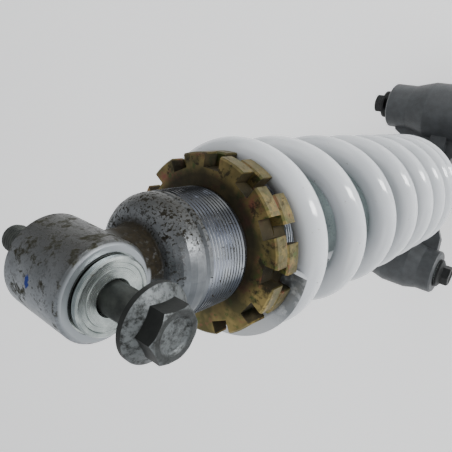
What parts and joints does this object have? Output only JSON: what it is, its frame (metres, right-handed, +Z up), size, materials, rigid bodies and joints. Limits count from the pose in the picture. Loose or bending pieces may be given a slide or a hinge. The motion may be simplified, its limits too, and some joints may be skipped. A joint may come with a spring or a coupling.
{
  "type": "motorcycle rear shock absorber",
  "caption": "Rear shock absorber: threaded damper body with a rubber-bushed upper eye, slotted ring nuts, progressive coil spring, and a rod-end fork bolted to a cast linkage arm.",
  "frame": {"origin": "centre of the upper eye", "axes": "+Z up the damper axis away from the spring, +X along the eye bolt towards its head, +Y towards the linkage arm's wide pivot"},
  "size_m": [0.134, 0.165, 0.3742],
  "materials": {
    "zinc_steel": "worn zinc plating on a steel forging",
    "bush_steel": "bare turned steel",
    "bolt_steel": "dark zinc plating, scuffed",
    "black_steel": "black coated steel",
    "yellow_zinc": "yellow passivated zinc on steel",
    "spring_enamel": "white powder coat",
    "cast_arm": "dark grey paint on a casting",
    "seat_paint": "dark grey coat",
    "hard_chrome": "hard chrome, ground",
    "turned_alloy": "turned aluminium",
    "rubber": "moulded rubber",
    "foam": "microcellular foam",
    "bronze": "bronze and filled fluoropolymer",
    "spring_steel": "bright spring steel"
  },
  "bodies": {
    "damper": {"damper_body": "zinc_steel", "eye_bush_shell": "bush_steel", "eye_bush_rubber": "rubber", "spring": "spring_enamel", "rod_guide": "turned_alloy", "guide_o_ring": "rubber", "guide_bush": "bronze", "oil_seal": "rubber", "guide_circlip": "spring_steel", "end_cap": "turned_alloy", "dust_wiper": "rubber"},
    "eye_core": {"eye_inner_sleeve": "bush_steel", "eye_bush_caps": "bush_steel"},
    "eye_bolt": {"eye_bolt": "bolt_steel"},
    "lock_ring": {"lock_ring": "yellow_zinc"},
    "adjuster_ring": {"adjuster_ring": "yellow_zinc"},
    "rod": {"damper_rod": "hard_chrome", "piston": "turned_alloy", "piston_band": "bronze", "compression_shims": "spring_steel", "rebound_shims": "spring_steel", "shim_washers": "spring_steel", "piston_nut": "bolt_steel", "topout_rubber": "rubber", "bump_stop": "foam", "bump_stop_cup": "black_steel", "spring_seat": "seat_paint", "seat_clip": "spring_steel", "clevis": "cast_arm", "clevis_bolt": "black_steel", "clevis_nut": "black_steel", "shock_collar": "bush_steel"},
    "floating_piston": {"floating_piston": "turned_alloy", "floating_piston_o_ring": "rubber"},
    "arm": {"linkage_arm": "cast_arm", "shock_bearings": "spring_steel", "shock_seals": "rubber", "upper_bearings": "spring_steel", "upper_seals": "rubber", "lower_bearings": "spring_steel", "lower_seals": "rubber"},
    "upper_pin": {"upper_collar": "bush_steel"},
    "upper_bolt": {"upper_bolt": "black_steel"},
    "lower_pin": {"lower_collar": "bush_steel", "lower_bolt": "black_steel", "lower_nut": "black_steel"}
  },
  "joints": [
    {"name": "rod_slide", "type": "slide", "parent": "damper", "child": "rod", "axis": [0, 0, 1], "range_m": [0, 0.055], "stiffness_N_per_m": 60000, "deforming": ["spring"]},
    {"name": "floating_piston_slide", "type": "slide", "parent": "damper", "child": "floating_piston", "axis": [0, 0, 1], "range_m": [0, 0.009]},
    {"name": "eye_bush_twist", "type": "hinge", "parent": "damper", "child": "eye_core", "pos_m": [0, 0, 0], "axis": [1, 0, 0], "range_deg": [-15, 15], "stiffness_Nm_per_rad": 2},
    {"name": "eye_bolt_slide", "type": "slide", "parent": "eye_core", "child": "eye_bolt", "axis": [1, 0, 0], "range_m": [-0.015, 0.045]},
    {"name": "lock_ring_turn", "type": "hinge", "parent": "damper", "child": "lock_ring", "pos_m": [0, 0, -0.0536], "axis": [0, 0, 1], "continuous": true},
    {"name": "adjuster_ring_turn", "type": "hinge", "parent": "damper", "child": "adjuster_ring", "pos_m": [0, 0, -0.0607], "axis": [0, 0, 1], "continuous": true},
    {"name": "arm_pivot", "type": "hinge", "parent": "rod", "child": "arm", "pos_m": [0, 0, -0.335], "axis": [1, 0, 0], "range_deg": [-20, 20]},
    {"name": "upper_collar_turn", "type": "hinge", "parent": "arm", "child": "upper_pin", "pos_m": [0, 0.057, -0.337], "axis": [1, 0, 0], "continuous": true},
    {"name": "upper_bolt_slide", "type": "slide", "parent": "upper_pin", "child": "upper_bolt", "axis": [-1, 0, 0], "range_m": [-0.004, 0.06]},
    {"name": "lower_collar_turn", "type": "hinge", "parent": "arm", "child": "lower_pin", "pos_m": [0, -0.066, -0.31], "axis": [1, 0, 0], "continuous": true}
  ],
  "couplings": [
    {"joint": "floating_piston_slide", "follows": "rod_slide", "ratio": 0.15123}
  ]
}
